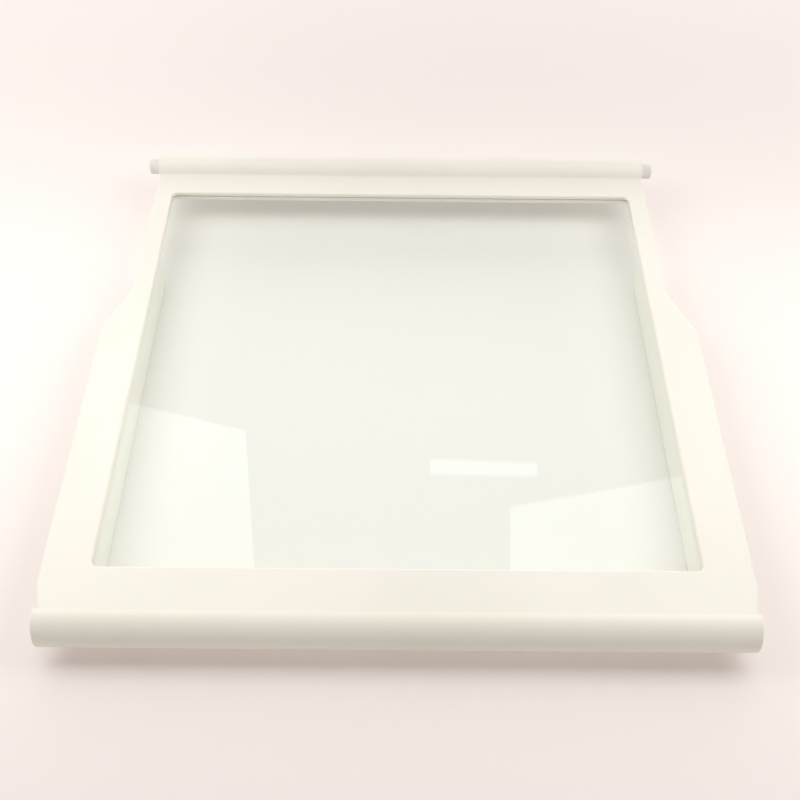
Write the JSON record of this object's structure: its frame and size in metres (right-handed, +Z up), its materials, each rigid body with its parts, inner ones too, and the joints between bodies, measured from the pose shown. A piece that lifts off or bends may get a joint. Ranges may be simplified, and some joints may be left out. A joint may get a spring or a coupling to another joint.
{
  "type": "refrigerator shelf",
  "caption": "Glass refrigerator shelf in an off-white moulded frame with deep side skirts, a round-nosed front trim with end caps, and a rear ridge with grey support pins",
  "frame": {"origin": "on the surface the shelf stands on, under the middle of its box", "axes": "+X across the shelf to the right seen from the front, +Y from the front trim to the rear ridge, +Z up"},
  "size_m": [0.4264, 0.4236, 0.0465],
  "materials": {
    "frame_plastic": "satin off-white moulding",
    "trim_plastic": "satin off-white profile",
    "glass": "clear toughened glass with a faint green tint",
    "pin_plastic": "light grey, fine matt"
  },
  "bodies": {
    "root": {"shelf_frame": "frame_plastic", "glass_panel": "glass", "front_trim": "trim_plastic", "trim_end_cap_left": "trim_plastic", "trim_end_cap_right": "trim_plastic", "rear_pin_left": "pin_plastic", "rear_pin_right": "pin_plastic"}
  },
  "joints": []
}
